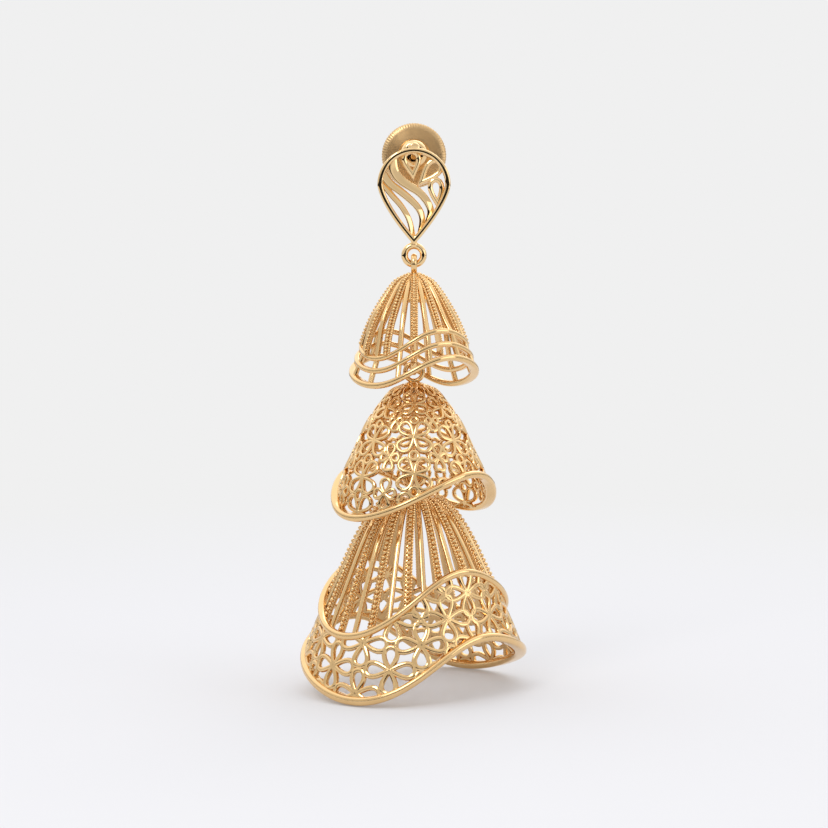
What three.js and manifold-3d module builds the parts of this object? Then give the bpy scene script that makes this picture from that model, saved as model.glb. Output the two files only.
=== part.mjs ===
// Three-tier jhumka earring: pear stud, screw back and three openwork bells hung in a row.
// Millimetres, +Z up, the front faces -Y; the origin is where the ear post meets the stud.
import * as THREE from 'three';
import { mergeVertices } from 'three/addons/utils/BufferGeometryUtils.js';
import Module from 'manifold-3d';

const wasm = await Module();
wasm.setup();

// ---- driving sizes (mm) ----
const GOLD = 0xddb27a;

// stud: a pear frame with its round end up and its point down
const STUD_HALF_WIDTH = 3.65;
const STUD_ROUND_Z = -3.35;
const STUD_TIP_Z = -9.4;
const FRAME_WIDTH = 0.56;
const FRAME_DEPTH = 1.1;
const BLADE_DEPTH = 0.7;

// ear post and screw back; all heights are given from the middle of the pear's upper edge, and the
// whole earring is set down at the end so that the post's axis passes through the origin
const POST_Z = 0.3;
const POST_RADIUS = 0.45;
const POST_LENGTH = 7.9;
const DISC_RADIUS = 3.35;
const DISC_THICK = 0.9;
const DISC_TEETH = 36;
const TOOTH_DEPTH = 0.1;
const BARREL_RADIUS = 1.45;
const BARREL_LENGTH = 2.6;
const BARREL_FRONT_Y = 5.2;
const BORE_RADIUS = 0.78;

// ring-and-loop hangers: the loop passes round the bottom wire of the ring above it; the first and
// third rings face the front, and the second, between the upper and middle bells, faces sideways
const RING_RADIUS = 0.93;
const RING_WIRE = 0.34;
const LOOP_RADIUS = 0.88;
const LOOP_WIRE = 0.24;
const ROD_RADIUS = 0.4;

// hinge heights: the middle of the wire that each loop hangs on
const HINGE_UPPER_Z = -11.27;
const HINGE_MIDDLE_Z = -22.0;
const HINGE_LOWER_Z = -33.4;

// each bell's wall is given by outer [radius, z] points; its rims and bands ride a saddle wave, high
// at 45 degrees from the front toward +X and low at -45; turn shifts a wave round the bell, skew makes
// it steeper where it rises at the front, and flare is how far a rim steps out for each mm it drops
const UPPER_PROFILE = [
  [0.9, -12.3], [2.1, -13.05], [3.25, -14.6], [4.5, -16.8], [5.45, -19.3], [5.65, -21.0],
];
const UPPER_FOOT = [[5.3, -19.2], [6.0, -21.9]];
const UPPER_DOME_END = -14.9;
const UPPER_RIBS = 24;
const UPPER_BANDS = [
  { outer: 5.5, inner: 4.85, z: -19.27, tall: 0.56, wave: 1.36, turn: -6.5, skew: 0.25, flare: 0 },
  { outer: 5.97, inner: 5.3, z: -20.5, tall: 0.56, wave: 1.32, turn: -4.5, skew: 0.29, flare: 0 },
  { outer: 6.5, inner: 5.6, z: -21.87, tall: 0.62, wave: 1.38, turn: -1.5, skew: 0.25, flare: 0 },
];

const MIDDLE_PROFILE = [
  [0.5, -22.95], [1.5, -23.3], [2.4, -23.75], [3.25, -24.75], [4.68, -26.7],
  [5.6, -28.6], [6.5, -30.5], [7.05, -31.7], [7.75, -34.1], [7.9, -36.5],
];
const MIDDLE_RIM = {
  outer: 8.3, inner: 7.2, z: -33.99, tall: 0.72, wave: 2.08, turn: 3, skew: -0.07, flare: 0.2,
};
const MIDDLE_COLUMNS = 12;
const MIDDLE_ROWS = [
  { z: -26.9, width: 1.8, height: 2.8, shift: 0.5 },
  { z: -29.4, width: 2.4, height: 3.4, shift: 0 },
  { z: -31.9, width: 2.8, height: 3.2, shift: 0.5 },
];

const LOWER_PROFILE = [
  [1.1, -34.35], [2.4, -34.5], [3.35, -34.95], [4.6, -36.4], [6.0, -38.8], [7.5, -42.3], [9.7, -47.6],
];
const LOWER_RIBS = 32;
const LOWER_TURN = -4.5;
const TOP_RIM = {
  outer: 9.38, inner: 8.6, z: -44.37, tall: 0.74, wave: 3.05, turn: -3.3, skew: 0.19, flare: 0.3,
};
const BOTTOM_RIM = {
  outer: 11.45, inner: 10.2, z: -50.32, tall: 0.84, wave: 2.82, turn: 6.9, skew: 0.34, flare: 0.3,
};
const SKIRT_PROFILE = [
  [8.3, -41.0], [8.95, -44.37], [9.4, -45.8], [10.3, -47.9], [11.15, -50.28], [12.05, -53.4],
];
const SKIRT_COLUMNS = 14;
const SKIRT_ROWS = [
  { z: -46.35, width: 2.6, height: 2.9, shift: 0.5 },
  { z: -48.4, width: 2.8, height: 3.0, shift: 0 },
];

const WALL = 0.4;
const BEADED_WIDTH = 0.76;
const PLAIN_WIDTH = 0.56;

const radians = (degrees) => (degrees * Math.PI) / 180;

// ---- solids: each three.js shape becomes a manifold solid so that it can be joined and cut ----
function solid(geometry) {
  geometry.deleteAttribute('normal');
  geometry.deleteAttribute('uv');
  const merged = mergeVertices(geometry, 1e-5);
  const place = merged.attributes.position;
  const source = merged.index.array;
  const corners = [];
  for (let i = 0; i < source.length; i += 3) {
    const [a, b, c] = [source[i], source[i + 1], source[i + 2]];
    if (a !== b && b !== c && c !== a) corners.push(a, b, c);
  }
  const build = (triangles) => new wasm.Manifold(new wasm.Mesh({
    numProp: 3, vertProperties: new Float32Array(place.array), triVerts: new Uint32Array(triangles),
  }));
  const body = build(corners);
  if (body.volume() > 0) return body;
  const flipped = [];
  for (let i = 0; i < corners.length; i += 3) flipped.push(corners[i], corners[i + 2], corners[i + 1]);
  return build(flipped);
}

const join = (bodies) => wasm.Manifold.union(bodies);

// a profile of [radius, z] points turned round the Z axis; angle 0 is the front, +90 is +X
function turned(points, segments, start = 0) {
  const closed = [...points, points[0]].map(([r, z]) => new THREE.Vector2(r, z));
  return new THREE.LatheGeometry(closed, segments, radians(start)).rotateX(Math.PI / 2);
}

// the height of a rim's saddle wave at an angle in degrees from the front
function saddle({ wave, turn, skew }, angle) {
  const twice = 2 * radians(angle - turn);
  return wave * Math.sin(twice + skew * Math.sin(twice));
}

// the radius of a profile at a height; past its ends it goes on straight
function radiusAt(profile, z) {
  const below = profile.findIndex((point) => point[1] <= z);
  const i = below < 0 ? profile.length - 1 : Math.max(1, below);
  const [[r0, z0], [r1, z1]] = [profile[i - 1], profile[i]];
  return r0 + ((r1 - r0) * (z - z0)) / (z1 - z0);
}

// lifts every point of a turned shape by wave(angle, z), and moves it outwards by step(z, lift)
function waved(geometry, wave, step) {
  const place = geometry.attributes.position;
  for (let i = 0; i < place.count; i += 1) {
    const [x, y, z] = [place.getX(i), place.getY(i), place.getZ(i)];
    const lift = wave(THREE.MathUtils.radToDeg(Math.atan2(x, -y)), z);
    const scale = 1 + step(z, lift) / Math.hypot(x, y);
    place.setXYZ(i, x * scale, y * scale, z + lift);
  }
  return geometry;
}

// a waved bar round a bell, its outer edges eased
function rim(size, segments, start = 0) {
  const { outer, inner, z, tall, flare } = size;
  const [low, high, ease] = [z - tall / 2, z + tall / 2, tall * 0.3];
  const section = [
    [inner, low], [outer - ease, low], [outer, low + ease],
    [outer, high - ease], [outer - ease, high], [inner, high],
  ];
  const bar = turned(section, segments, start);
  return solid(waved(bar, (angle) => saddle(size, angle), (_, lift) => -flare * lift));
}

// a strip standing in the plane of the axis, from a profile inwards, turned to its place round the bell
function rib(profile, width, depth, angle) {
  const outline = [...profile, ...profile.map(([r, z]) => [r - depth, z - depth * 0.35]).reverse()];
  const shape = new THREE.Shape(outline.map(([r, z]) => new THREE.Vector2(r, z)));
  const strip = new THREE.ExtrudeGeometry(shape, { depth: width, bevelEnabled: false, steps: 1 });
  strip.translate(0, 0, -width / 2).rotateX(Math.PI / 2).rotateZ(radians(angle - 90));
  return solid(strip);
}

// the part of a profile between two heights, with its ends worked out
function clipped(profile, top, bottom) {
  const between = profile.filter(([, z]) => z < top - 0.1 && z > bottom + 0.1);
  return [[radiusAt(profile, top), top], ...between, [radiusAt(profile, bottom), bottom]];
}

// the same, led outwards little by little so that it ends at least at a radius
function ledTo(profile, top, bottom, least) {
  const line = clipped(profile, top, bottom);
  const more = Math.max(0, least - line[line.length - 1][0]);
  return line.map(([r, z]) => [r + more * ((top - z) / (top - bottom)) ** 2, z]);
}

function torus(ring, wire, z, around = 14, section = 6) {
  return new THREE.TorusGeometry(ring, wire, section, around).rotateX(Math.PI / 2).translate(0, 0, z);
}

// ring whose bottom wire is the hinge; it faces the front, or sideways when turned by 90 degrees
function hangingRing(hingeZ, turn = 0) {
  return solid(torus(RING_RADIUS, RING_WIRE, hingeZ + RING_RADIUS).rotateZ(radians(turn)));
}

// loop in the plane of the swing, centred on the hinge, with the stem below it
function hangingLoop(hingeZ, stemEndZ, turn = 0) {
  const loop = solid(torus(LOOP_RADIUS, LOOP_WIRE, hingeZ).rotateZ(radians(turn + 90)));
  const stemTop = hingeZ - LOOP_RADIUS - 0.05;
  const stem = new THREE.CylinderGeometry(0.36, 0.5, stemTop - stemEndZ, 12);
  stem.rotateX(Math.PI / 2).translate(0, 0, (stemTop + stemEndZ) / 2);
  return [loop, solid(stem)];
}

function rod(topZ, bottomZ) {
  const bar = new THREE.CylinderGeometry(ROD_RADIUS, ROD_RADIUS, topZ - bottomZ, 10);
  return solid(bar.rotateX(Math.PI / 2).translate(0, 0, (topZ + bottomZ) / 2));
}

// ---- nodes ----
function node(name, body) {
  const mesh = body.getMesh();
  const geometry = new THREE.BufferGeometry();
  geometry.setAttribute('position', new THREE.BufferAttribute(mesh.vertProperties, 3));
  geometry.setIndex(new THREE.BufferAttribute(mesh.triVerts, 1));
  const gold = new THREE.MeshStandardMaterial({ color: GOLD, metalness: 1, roughness: 0.25 });
  const part = new THREE.Mesh(geometry, gold);
  part.name = name;
  return part;
}

// stud: frame, blades and petals are flat shapes cut through and stood up facing front
function flat(outline, holes, depth, y) {
  const edge = outline.map(([x, z]) => new THREE.Vector2(x, z));
  const shape = new THREE.Shape(THREE.ShapeUtils.isClockWise(edge) ? edge.reverse() : edge);
  for (const hole of holes) {
    shape.holes.push(new THREE.Path(hole.map(([x, z]) => new THREE.Vector2(x, z))));
  }
  const plate = new THREE.ExtrudeGeometry(shape, { depth, bevelEnabled: false, steps: 1 });
  return solid(plate.translate(0, 0, -depth / 2).rotateX(Math.PI / 2).translate(0, y, 0));
}

function pear(inset) {
  const points = [];
  const radius = STUD_HALF_WIDTH - inset;
  for (let i = 0; i <= 18; i += 1) {
    const angle = Math.PI - (i / 18) * Math.PI;
    points.push([radius * Math.cos(angle), STUD_ROUND_Z + radius * Math.sin(angle)]);
  }
  const tip = STUD_TIP_Z + inset * 1.7;
  for (let i = 1; i < 9; i += 1) {
    const t = i / 9;
    const side = radius * (1 - t ** 1.45);
    points.push([side, STUD_ROUND_Z + (tip - STUD_ROUND_Z) * t]);
  }
  points.push([0, tip]);
  for (let i = 8; i >= 1; i -= 1) {
    const t = i / 9;
    points.push([-radius * (1 - t ** 1.45), STUD_ROUND_Z + (tip - STUD_ROUND_Z) * t]);
  }
  return points;
}

// a strip that follows a smooth line, as wide as given at its start and its end
function blade(line, startWidth, endWidth) {
  const curve = new THREE.SplineCurve(line.map(([x, z]) => new THREE.Vector2(x, z)));
  const steps = 10;
  const left = [];
  const right = [];
  for (let i = 0; i <= steps; i += 1) {
    const point = curve.getPoint(i / steps);
    const along = curve.getTangent(i / steps);
    const half = (startWidth + ((endWidth - startWidth) * i) / steps) / 2;
    left.push([point.x - along.y * half, point.y + along.x * half]);
    right.unshift([point.x + along.y * half, point.y - along.x * half]);
  }
  return flat([...left, ...right], [], BLADE_DEPTH, 0);
}

// a petal: a drop-shaped ring of wire, pointed at the flower's middle
function drop(x, z, length, width, angle, wire) {
  const outline = (inset) => {
    const points = [];
    for (let i = 0; i < 14; i += 1) {
      const t = (i / 14) * 2 * Math.PI;
      const along = ((1 - Math.cos(t)) / 2) * (length - 2 * inset) + inset;
      const across = (width / 2 - inset) * Math.sin(t) * Math.sin(t / 2) ** 0.9;
      const turn = radians(angle);
      points.push([
        x + along * Math.cos(turn) - across * Math.sin(turn),
        z + along * Math.sin(turn) + across * Math.cos(turn),
      ]);
    }
    return points;
  };
  return flat(outline(0), [outline(wire)], BLADE_DEPTH, 0);
}

function studFront() {
  const parts = [flat(pear(0), [pear(FRAME_WIDTH)], FRAME_DEPTH, 0)];
  parts.push(blade([[-3.3, -2.9], [-1.75, -5.1], [-0.75, -6.3], [-0.3, -7.4], [-0.25, -8.8]], 0.45, 0.58));
  parts.push(blade([[-3.1, -1.7], [-1.35, -4.1], [0.0, -5.25], [0.72, -6.6], [0.88, -7.8]], 0.8, 0.6));
  parts.push(blade([[-2.3, -0.4], [-1.15, -2.6], [0.35, -3.65], [1.2, -4.7], [1.65, -6.6]], 0.95, 0.55));
  parts.push(drop(-0.1, -2.4, 2.35, 1.75, 96, 0.38));
  parts.push(drop(0.68, -3.25, 3.1, 1.75, 50, 0.38));
  parts.push(drop(2.45, -5.4, 2.6, 1.5, 97, 0.38));
  parts.push(hangingRing(HINGE_UPPER_Z));
  const collar = new THREE.CylinderGeometry(0.42, 0.42, 0.55, 10);
  parts.push(solid(collar.rotateX(Math.PI / 2).translate(0, 0, STUD_TIP_Z + 0.1)));
  const post = new THREE.CylinderGeometry(POST_RADIUS, POST_RADIUS, POST_LENGTH, 16);
  parts.push(solid(post.translate(0, POST_LENGTH / 2, POST_Z)));
  const foot = new THREE.CylinderGeometry(0.6, 0.6, 0.45, 16);
  parts.push(solid(foot.translate(0, FRAME_DEPTH / 2 - 0.1, POST_Z - 0.1)));
  return join(parts);
}

// the milled disc with its domed barrel; the bore is closed at the back
function screwBack() {
  const edge = [];
  for (let i = 0; i < DISC_TEETH * 2; i += 1) {
    const angle = (i / (DISC_TEETH * 2)) * 2 * Math.PI;
    const radius = DISC_RADIUS - (i % 2) * TOOTH_DEPTH;
    edge.push([radius * Math.sin(angle), radius * Math.cos(angle)]);
  }
  const discFront = BARREL_FRONT_Y + BARREL_LENGTH;
  const disc = flat(edge, [], DISC_THICK, discFront + DISC_THICK / 2);
  const profile = [[0, 0.15], [0, -BARREL_LENGTH], [BORE_RADIUS + 0.2, -BARREL_LENGTH]];
  for (let i = 0; i <= 5; i += 1) {
    const angle = radians(90 - i * 18);
    profile.push([
      BORE_RADIUS + 0.25 + (BARREL_RADIUS - BORE_RADIUS - 0.25) * Math.cos(angle),
      -BARREL_LENGTH + 1.1 - 1.1 * Math.sin(angle),
    ]);
  }
  profile.push([BARREL_RADIUS + 0.25, 0.15]);
  const points = profile.map(([r, y]) => new THREE.Vector2(r, y));
  const barrel = solid(new THREE.LatheGeometry([...points, points[0]], 24).translate(0, discFront, 0));
  const boreEnd = discFront + DISC_THICK - 0.4;
  const bore = new THREE.CylinderGeometry(BORE_RADIUS, BORE_RADIUS, boreEnd - BARREL_FRONT_Y + 1, 16);
  bore.translate(0, (boreEnd + BARREL_FRONT_Y - 1) / 2, 0);
  return join([disc, barrel]).subtract(solid(bore)).translate([0, 0, POST_Z]);
}

// closed dome at the top of a bell, where the ribs or wires run together; sunk sets it back behind them
function cap(profile, bottom, sunk = 0) {
  const outside = clipped(profile, profile[0][1], bottom).map(([r, z]) => [r - sunk * Math.min(1, r / 3), z]);
  const inside = outside.map(([r, z]) => [Math.max(r - WALL, 0.3), z - WALL * 0.6]).reverse();
  const top = profile[0][1];
  return solid(turned([[0, top + 0.2], ...outside, ...inside, [0, top - WALL * 0.6]], 16));
}

function upperBell() {
  const parts = [cap(UPPER_PROFILE, UPPER_DOME_END, 0.2), ...hangingLoop(HINGE_UPPER_Z, -12.5)];
  const head = UPPER_DOME_END + 0.3;
  for (let i = 0; i < UPPER_RIBS; i += 1) {
    const angle = (i * 360) / UPPER_RIBS;
    const feet = UPPER_BANDS.map((band) => [band.outer - 0.2, band.z + saddle(band, angle)]);
    if (i % 2 === 0) {
      parts.push(rib(ledTo(UPPER_PROFILE, head, feet[0][1], feet[0][0]), BEADED_WIDTH, WALL, angle));
    } else {
      const line = [...clipped(UPPER_PROFILE, head, -16.8), feet[0], feet[1], feet[2]];
      parts.push(rib(line, PLAIN_WIDTH, WALL, angle));
    }
  }
  for (const band of UPPER_BANDS) {
    parts.push(rim(band, UPPER_RIBS * 2, 180 / UPPER_RIBS));
  }
  parts.push(rod(-12.4, HINGE_MIDDLE_Z + 2 * RING_RADIUS + 0.1), hangingRing(HINGE_MIDDLE_Z, 90));
  return join(parts);
}

// radial prism that cuts one lozenge opening through a wall
function opening(radius, z, angle, width, height, slope) {
  const corners = [[0, height / 2], [width / 2, 0], [0, -height / 2], [-width / 2, 0]];
  const shape = new THREE.Shape(corners.map(([x, y]) => new THREE.Vector2(x, y)));
  const prism = new THREE.ExtrudeGeometry(shape, { depth: 2.4, bevelEnabled: false, steps: 1 });
  prism.translate(0, 0, -1.2).rotateX(Math.PI / 2 - slope).translate(0, -radius, z);
  return solid(prism.rotateZ(radians(angle)));
}

// pierced wall: rows of openings, every other row shifted by half a step, all of it riding the wave
function piercedWall(outside, profile, rows, columns, wave) {
  const section = [...outside, ...outside.map(([r, z]) => [r - WALL, z]).reverse()];
  const step = (z, lift) => radiusAt(profile, z + lift) - radiusAt(profile, z);
  const wall = solid(waved(turned(section, columns * 2), wave, step));
  const holes = [];
  for (const { z, width, height, shift } of rows) {
    for (let i = 0; i < columns; i += 1) {
      const angle = ((i + shift) * 360) / columns;
      const middle = z + wave(angle, z);
      const slope = Math.atan2(radiusAt(profile, middle - 0.2) - radiusAt(profile, middle + 0.2), 0.4);
      holes.push(opening(radiusAt(profile, middle), middle, angle, width, height, slope));
    }
  }
  return wall.subtract(join(holes));
}

function middleBell() {
  const wallTop = -24.3;
  const wave = (angle, z) => {
    const share = THREE.MathUtils.clamp((wallTop - z) / (wallTop - MIDDLE_RIM.z), 0, 1);
    return share ** 2 * saddle(MIDDLE_RIM, angle);
  };
  const outside = clipped(MIDDLE_PROFILE, wallTop, MIDDLE_RIM.z);
  return join([
    cap(MIDDLE_PROFILE, -24.6),
    piercedWall(outside, MIDDLE_PROFILE, MIDDLE_ROWS, MIDDLE_COLUMNS, wave),
    rim(MIDDLE_RIM, 36),
    ...hangingLoop(HINGE_MIDDLE_Z, -23.15, 90),
    rod(-23.0, HINGE_LOWER_Z + 2 * RING_RADIUS + 0.1),
    hangingRing(HINGE_LOWER_Z),
  ]);
}

function lowerBell() {
  const wave = (angle, z) => {
    const share = (TOP_RIM.z - z) / (TOP_RIM.z - BOTTOM_RIM.z);
    return (1 - share) * saddle(TOP_RIM, angle) + share * saddle(BOTTOM_RIM, angle);
  };
  const parts = [cap(LOWER_PROFILE, -35.3, 0.15), ...hangingLoop(HINGE_LOWER_Z, -34.3)];
  for (let i = 0; i < LOWER_RIBS; i += 1) {
    const angle = LOWER_TURN + (i * 360) / LOWER_RIBS;
    const lift = saddle(TOP_RIM, angle);
    const end = TOP_RIM.z + lift;
    const least = TOP_RIM.inner + 0.15 - TOP_RIM.flare * lift;
    const width = i % 2 === 0 ? BEADED_WIDTH : PLAIN_WIDTH;
    parts.push(rib(ledTo(LOWER_PROFILE, -34.9, end, least), width, WALL, angle));
  }
  const outside = clipped(SKIRT_PROFILE, TOP_RIM.z, BOTTOM_RIM.z);
  parts.push(piercedWall(outside, SKIRT_PROFILE, SKIRT_ROWS, SKIRT_COLUMNS, wave));
  parts.push(rim(TOP_RIM, LOWER_RIBS * 2, LOWER_TURN + 180 / LOWER_RIBS));
  parts.push(rim(BOTTOM_RIM, 56));
  return join(parts);
}

const earring = new THREE.Group();
earring.name = 'jhumka_earring';
earring.position.z = -POST_Z;
earring.add(node('stud_front', studFront()));
earring.add(node('screw_back', screwBack()));
earring.add(node('upper_bell', upperBell()));
earring.add(node('middle_bell', middleBell()));
earring.add(node('lower_bell', lowerBell()));

export default earring;
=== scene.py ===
# Jhumka earring: a pear stud with its screw back, and three openwork gold bells hung one under another.
# The studio's sizes are in metres. The earring's are in millimetres, and are brought to metres when a
# piece is finished; a round part is given by its radius. The front faces -Y, and a place round a bell is
# its turn in degrees from the front, positive towards +X.
import math
from collections import namedtuple

import bmesh
import bpy
from mathutils import Matrix, Vector


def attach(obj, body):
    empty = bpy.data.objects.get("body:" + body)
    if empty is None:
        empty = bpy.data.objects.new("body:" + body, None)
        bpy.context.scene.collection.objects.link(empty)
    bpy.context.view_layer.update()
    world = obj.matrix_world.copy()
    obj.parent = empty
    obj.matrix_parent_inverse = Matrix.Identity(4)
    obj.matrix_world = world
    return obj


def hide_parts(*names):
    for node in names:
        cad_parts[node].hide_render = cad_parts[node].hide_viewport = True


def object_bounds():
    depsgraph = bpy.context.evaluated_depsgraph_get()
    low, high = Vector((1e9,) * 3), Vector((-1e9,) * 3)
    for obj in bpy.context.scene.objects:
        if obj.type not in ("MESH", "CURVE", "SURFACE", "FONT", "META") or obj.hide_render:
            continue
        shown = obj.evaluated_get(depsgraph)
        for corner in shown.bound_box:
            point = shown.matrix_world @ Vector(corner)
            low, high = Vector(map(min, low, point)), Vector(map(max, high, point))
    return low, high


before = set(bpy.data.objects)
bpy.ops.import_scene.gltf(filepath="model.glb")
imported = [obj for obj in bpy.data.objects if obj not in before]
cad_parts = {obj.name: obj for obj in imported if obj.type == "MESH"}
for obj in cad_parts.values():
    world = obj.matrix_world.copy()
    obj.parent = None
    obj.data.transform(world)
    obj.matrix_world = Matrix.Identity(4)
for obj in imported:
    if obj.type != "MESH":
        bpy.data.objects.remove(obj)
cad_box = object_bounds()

# ---- Studio ----
# A sheet of pale matt card under a bright tent: soft light from above and from both sides, with a
# key lamp high on the left. The dark slit where the tent ends above the card is widest in front, and
# is what gold shows as its thin dark lines. The camera is level with the top bell.
CARD = "#F0F0F0"
CARD_MATT = "#DCDCE0"
CARD_OWN_LIGHT = 0.2
CARD_RADIUS = 0.3
CARD_FADE = (0.08, 0.22)
CARD_GAP = 0.0001
CAMERA_PLACE = Vector((0, -0.1925, -0.0186))
CAMERA_AIM = Vector((0, 0, -0.0265))
CAMERA_LENS = 83.7


def linear(code):
    """An sRGB hex colour as the linear colour that a shader takes."""
    parts = [int(code[i : i + 2], 16) / 255 for i in (1, 3, 5)]
    return [p / 12.92 if p <= 0.04045 else ((p + 0.055) / 1.055) ** 2.4 for p in parts] + [1]


def add(tree, kind, values=None, links=None, **settings):
    """Adds a node with its settings, its sockets' values and its links."""
    made = tree.nodes.new(kind)
    for name, value in settings.items():
        setattr(made, name, value)
    for name, value in (values or {}).items():
        made.inputs[name].default_value = value
    for name, output in (links or {}).items():
        tree.links.new(output, made.inputs[name])
    return made


camera = bpy.data.objects.new("camera", bpy.data.cameras.new("camera"))
camera.data.lens = CAMERA_LENS
camera.data.clip_start = 0.01
camera.location = CAMERA_PLACE
camera.rotation_euler = (CAMERA_AIM - CAMERA_PLACE).to_track_quat("-Z", "Y").to_euler()
bpy.context.collection.objects.link(camera)
bpy.context.scene.camera = camera
bpy.context.scene.view_settings.view_transform = "Standard"

# the tent: what the gold reflects, as (height, brightness) from straight down, 0, over level, 0.5, to
# straight up, 1; the camera itself sees plain card. The dark slit is SLIT_WIDER times wider straight in
# front than at the sides and as many times narrower behind, and lies SLIT_RISE higher in front.
TENT = [
    (0.0, 0.8), (0.42, 0.84), (0.474, 1.08), (0.485, 0.02), (0.515, 0.02), (0.528, 0.94),
    (0.56, 0.72), (0.64, 0.68), (0.75, 0.94), (0.9, 1.2), (1.0, 1.3),
]
SLIT_WIDER = 3.2
SLIT_RISE = 0.03
world = bpy.data.worlds.new("tent")
world.use_nodes = True
tree = world.node_tree
tree.nodes.clear()
direction = add(tree, "ShaderNodeTexCoord").outputs["Generated"]
sides = add(tree, "ShaderNodeSeparateXYZ", links={"Vector": direction})
front = add(tree, "ShaderNodeMath", {1: -1.0}, {0: sides.outputs["Y"]}, operation="MULTIPLY").outputs[0]
raised = add(
    tree,
    "ShaderNodeMath",
    {1: -SLIT_RISE},
    {0: front, 2: sides.outputs["Z"]},
    operation="MULTIPLY_ADD",
)
spread = add(tree, "ShaderNodeMath", {0: SLIT_WIDER}, {1: front}, operation="POWER")
level = add(tree, "ShaderNodeMath", links={0: raised.outputs[0], 1: spread.outputs[0]}, operation="DIVIDE")
height = add(tree, "ShaderNodeMath", {1: 0.5, 2: 0.5}, {0: level.outputs[0]}, operation="MULTIPLY_ADD")
ramp = add(tree, "ShaderNodeValToRGB", links={"Fac": height.outputs[0]})
stops = ramp.color_ramp.elements
while len(stops) < len(TENT):
    stops.new(0.5)
for stop, (place, bright) in zip(stops, TENT):
    stop.position = place
for stop, (place, bright) in zip(stops, TENT):
    stop.color = (bright, bright, bright, 1)
tent = add(tree, "ShaderNodeBackground", links={"Color": ramp.outputs["Color"]})
plain = add(tree, "ShaderNodeBackground", {"Color": linear(CARD)})
ray = add(tree, "ShaderNodeLightPath")
seen = add(
    tree,
    "ShaderNodeMixShader",
    links={0: ray.outputs["Is Camera Ray"], 1: tent.outputs[0], 2: plain.outputs[0]},
)
add(tree, "ShaderNodeOutputWorld", links={"Surface": seen.outputs[0]})
bpy.context.scene.world = world

# the lamps: name, place, size and power in watts, each turned to the middle of the earring
LAMPS = [
    ("key", (-0.15, -0.25, 0.25), 0.13, 0.32),
    ("fill", (0.30, -0.16, 0.06), 0.20, 0.15),
    ("back", (0.10, 0.30, 0.22), 0.20, 0.16),
]
for name, place, size, power in LAMPS:
    lamp = bpy.data.objects.new(name, bpy.data.lights.new(name, "AREA"))
    lamp.data.size = size
    lamp.data.energy = power
    lamp.location = place
    lamp.rotation_euler = (CAMERA_AIM - Vector(place)).to_track_quat("-Z", "Y").to_euler()
    bpy.context.collection.objects.link(lamp)

# the card: matt near the earring with a little light of its own, and plain farther out, so that it
# has no edge; it lies just under the earring
card_shape = bmesh.new()
bmesh.ops.create_circle(card_shape, cap_ends=True, segments=128, radius=CARD_RADIUS)
bmesh.ops.translate(card_shape, verts=card_shape.verts, vec=(0, 0, cad_box[0].z - CARD_GAP))
card_mesh = bpy.data.meshes.new("card")
card_shape.to_mesh(card_mesh)
card_shape.free()
card = bpy.data.objects.new("card", card_mesh)
bpy.context.collection.objects.link(card)
material = bpy.data.materials.new("matt_card")
material.use_nodes = True
tree = material.node_tree
tree.nodes.clear()
matt = add(
    tree,
    "ShaderNodeBsdfPrincipled",
    {"Base Color": linear(CARD_MATT), "Roughness": 0.9, "Specular IOR Level": 0.0},
)
flat = add(tree, "ShaderNodeEmission", {"Color": linear(CARD)})
spot = add(tree, "ShaderNodeTexCoord")
far = add(tree, "ShaderNodeVectorMath", links={0: spot.outputs["Object"]}, operation="LENGTH")
fade = add(
    tree,
    "ShaderNodeMapRange",
    {"From Min": CARD_FADE[0], "From Max": CARD_FADE[1], "To Min": CARD_OWN_LIGHT},
    {"Value": far.outputs["Value"]},
)
both = add(tree, "ShaderNodeMixShader", links={0: fade.outputs[0], 1: matt.outputs[0], 2: flat.outputs[0]})
add(tree, "ShaderNodeOutputMaterial", links={"Surface": both.outputs[0]})
card_mesh.materials.append(material)

# ---- Stud: pear frame ----
# The front that shows on the ear: an open pear of polished 18 karat gold wire, round end up, cast in
# one with its blades, half flower and hanging ring. The ear post is soldered behind its top.

POST_Z = 0.3
PEAR_HALF_WIDTH = 3.65
PEAR_ROUND_Z = -3.35
PEAR_TIP_Z = -9.4
PEAR_WIRE = 0.56
PEAR_DEPTH = 1.1
PEAR_BELLY = 1.45
ROUND_STEPS = 24
SIDE_STEPS = 16
SHORTEST_MITRE = 0.45
SHARP = math.radians(42)
MERGE = 1e-5


def rounded(corners, radius, segments=2, hold=0):
    """The outline of a section with its corners rounded over; hold adds a point that near a flat's ends."""
    plate = bmesh.new()
    plate.faces.new([plate.verts.new((a, b, 0)) for a, b in corners])
    bmesh.ops.bevel(
        plate,
        geom=plate.verts[:],
        offset=radius,
        segments=segments,
        profile=0.5,
        affect="VERTICES",
        material=-1,
    )
    plate.faces.ensure_lookup_table()
    outline = [corner.vert.co.xy.copy() for corner in plate.faces[0].loops]
    plate.free()
    held = []
    for a, b in zip(outline, [*outline[1:], outline[0]]):
        held.append(a)
        if hold and (b - a).length > 4 * hold:
            step = (b - a).normalized() * hold
            held += [a + step, b - step]
    return held


def strip(width, depth, radius, segments=2, hold=0):
    """The outline of flat wire with eased edges."""
    a, b = width / 2, depth / 2
    return rounded([(-a, -b), (a, -b), (a, b), (-a, b)], radius, segments, hold)


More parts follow.
